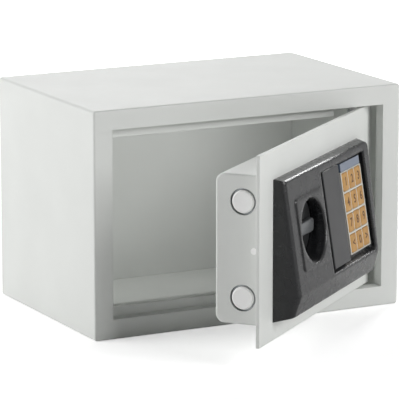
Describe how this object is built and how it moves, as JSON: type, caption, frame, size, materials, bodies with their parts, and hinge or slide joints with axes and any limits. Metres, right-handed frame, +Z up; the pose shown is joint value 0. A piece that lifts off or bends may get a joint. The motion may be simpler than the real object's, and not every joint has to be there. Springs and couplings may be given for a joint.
{
  "type": "furniture safe",
  "caption": "Small rectangular steel safe with a hinged door, angled keypad panel, turning knob, sliding round bolts and covered bolt-work.",
  "frame": {"origin": "centre of the cabinet's footprint, on the face it stands on", "axes": "+X to the right seen from the front, +Y to the back of the cabinet, +Z up; the door is stored open"},
  "size_m": [0.31, 0.3538, 0.206],
  "materials": {
    "painted_steel": "fine textured light grey powder coat",
    "brass": "turned",
    "bright_steel": "bright plated",
    "zinc_steel": "zinc plated sheet",
    "grey_plastic": "satin dark grey moulding",
    "silver_plastic": "silver painted moulding",
    "keypad_frame": "pale moulding",
    "smoked_window": "blue-grey translucent moulding",
    "led_plastic": "clear diffused",
    "circuit_board": "solder resist",
    "black_plastic": "moulded",
    "battery_wrap": "plain sleeve",
    "copper_winding": "wound enamelled wire",
    "black_rubber": "sleeved wires and grommet",
    "red_plastic": "moulded button",
    "key_gold": "warm metallic painted keys"
  },
  "bodies": {
    "cabinet": {"body_shell": "painted_steel", "back_panel": "painted_steel", "door_frame": "painted_steel", "hinge_bushes": "brass"},
    "door": {"door_plate": "painted_steel", "hinge_brackets": "zinc_steel", "hinge_pins": "bright_steel", "door_stop_rails": "painted_steel", "panel_housing": "grey_plastic", "keypad_frame": "keypad_frame", "led_window": "smoked_window", "leds": "led_plastic", "circuit_board": "circuit_board", "panel_screws": "bright_steel", "shaft_bush": "black_plastic", "bolt_guides": "zinc_steel", "carriage_studs": "bright_steel", "bolt_cover": "painted_steel", "cover_brackets": "zinc_steel", "cover_screws": "bright_steel", "battery_box": "black_plastic", "batteries": "battery_wrap", "battery_contacts": "bright_steel", "lock_barrel": "bright_steel", "lock_nut": "brass", "solenoid_frame": "zinc_steel", "solenoid_coil": "copper_winding", "cable_grommet": "black_rubber", "wire_loom": "black_rubber", "reset_switch": "black_plastic"},
    "turn_knob": {"knob": "silver_plastic", "knob_shaft": "bright_steel", "crank": "zinc_steel"},
    "bolt_work": {"locking_bolts": "bright_steel", "bolt_rivets": "bright_steel", "bolt_plate": "zinc_steel"},
    "lock_plunger": {"plunger": "bright_steel"},
    "key_lock_cover": {"strip_cover": "grey_plastic"},
    "key_lock": {"lock_plug": "brass", "lock_cam": "zinc_steel"},
    "battery_hatch": {"battery_lid": "black_plastic"},
    "reset": {"reset_button": "red_plastic"},
    "keypad_key_1": {"key_1": "key_gold"},
    "keypad_key_2": {"key_2": "key_gold"},
    "keypad_key_3": {"key_3": "key_gold"},
    "keypad_key_4": {"key_4": "key_gold"},
    "keypad_key_5": {"key_5": "key_gold"},
    "keypad_key_6": {"key_6": "key_gold"},
    "keypad_key_7": {"key_7": "key_gold"},
    "keypad_key_8": {"key_8": "key_gold"},
    "keypad_key_9": {"key_9": "key_gold"},
    "keypad_key_left": {"key_left": "key_gold"},
    "keypad_key_0": {"key_0": "key_gold"},
    "keypad_key_right": {"key_right": "key_gold"}
  },
  "joints": [
    {"name": "door_hinge", "type": "hinge", "parent": "cabinet", "child": "door", "pos_m": [0.1107, -0.0915, 0.1], "axis": [0, 0, 1], "range_deg": [-39.4, 50.6]},
    {"name": "knob_turn", "type": "hinge", "parent": "door", "child": "turn_knob", "pos_m": [-0.01358, -0.20394, 0.10861], "axis": [0.6347, -0.7727, 0], "range_deg": [0, 90]},
    {"name": "bolt_slide", "type": "slide", "parent": "door", "child": "bolt_work", "axis": [-0.7727, -0.6347, 0], "range_m": [0, 0.02206]},
    {"name": "plunger_slide", "type": "slide", "parent": "door", "child": "lock_plunger", "axis": [0.6347, -0.7727, 0], "range_m": [0, 0.005]},
    {"name": "strip_cover_lift", "type": "slide", "parent": "door", "child": "key_lock_cover", "axis": [0.6271, -0.7635, 0.1543], "range_m": [0, 0.025]},
    {"name": "key_lock_turn", "type": "hinge", "parent": "door", "child": "key_lock", "pos_m": [0.0307, -0.16757, 0.1058], "axis": [0.6347, -0.7727, 0], "range_deg": [0, 90]},
    {"name": "battery_lid_lift", "type": "slide", "parent": "door", "child": "battery_hatch", "axis": [-0.6347, 0.7727, 0], "range_m": [0, 0.02]},
    {"name": "reset_push", "type": "slide", "parent": "door", "child": "reset", "axis": [0.6347, -0.7727, 0], "range_m": [0, 0.0015], "stiffness_N_per_m": 300},
    {"name": "key_1_press", "type": "slide", "parent": "door", "child": "keypad_key_1", "axis": [-0.6271, 0.7635, -0.1543], "range_m": [0, 0.001], "stiffness_N_per_m": 400},
    {"name": "key_2_press", "type": "slide", "parent": "door", "child": "keypad_key_2", "axis": [-0.6271, 0.7635, -0.1543], "range_m": [0, 0.001], "stiffness_N_per_m": 400},
    {"name": "key_3_press", "type": "slide", "parent": "door", "child": "keypad_key_3", "axis": [-0.6271, 0.7635, -0.1543], "range_m": [0, 0.001], "stiffness_N_per_m": 400},
    {"name": "key_4_press", "type": "slide", "parent": "door", "child": "keypad_key_4", "axis": [-0.6271, 0.7635, -0.1543], "range_m": [0, 0.001], "stiffness_N_per_m": 400},
    {"name": "key_5_press", "type": "slide", "parent": "door", "child": "keypad_key_5", "axis": [-0.6271, 0.7635, -0.1543], "range_m": [0, 0.001], "stiffness_N_per_m": 400},
    {"name": "key_6_press", "type": "slide", "parent": "door", "child": "keypad_key_6", "axis": [-0.6271, 0.7635, -0.1543], "range_m": [0, 0.001], "stiffness_N_per_m": 400},
    {"name": "key_7_press", "type": "slide", "parent": "door", "child": "keypad_key_7", "axis": [-0.6271, 0.7635, -0.1543], "range_m": [0, 0.001], "stiffness_N_per_m": 400},
    {"name": "key_8_press", "type": "slide", "parent": "door", "child": "keypad_key_8", "axis": [-0.6271, 0.7635, -0.1543], "range_m": [0, 0.001], "stiffness_N_per_m": 400},
    {"name": "key_9_press", "type": "slide", "parent": "door", "child": "keypad_key_9", "axis": [-0.6271, 0.7635, -0.1543], "range_m": [0, 0.001], "stiffness_N_per_m": 400},
    {"name": "key_left_press", "type": "slide", "parent": "door", "child": "keypad_key_left", "axis": [-0.6271, 0.7635, -0.1543], "range_m": [0, 0.001], "stiffness_N_per_m": 400},
    {"name": "key_0_press", "type": "slide", "parent": "door", "child": "keypad_key_0", "axis": [-0.6271, 0.7635, -0.1543], "range_m": [0, 0.001], "stiffness_N_per_m": 400},
    {"name": "key_right_press", "type": "slide", "parent": "door", "child": "keypad_key_right", "axis": [-0.6271, 0.7635, -0.1543], "range_m": [0, 0.001], "stiffness_N_per_m": 400}
  ],
  "couplings": [
    {"joint": "knob_turn", "follows": "bolt_slide", "rad_per_m": 71.2}
  ]
}
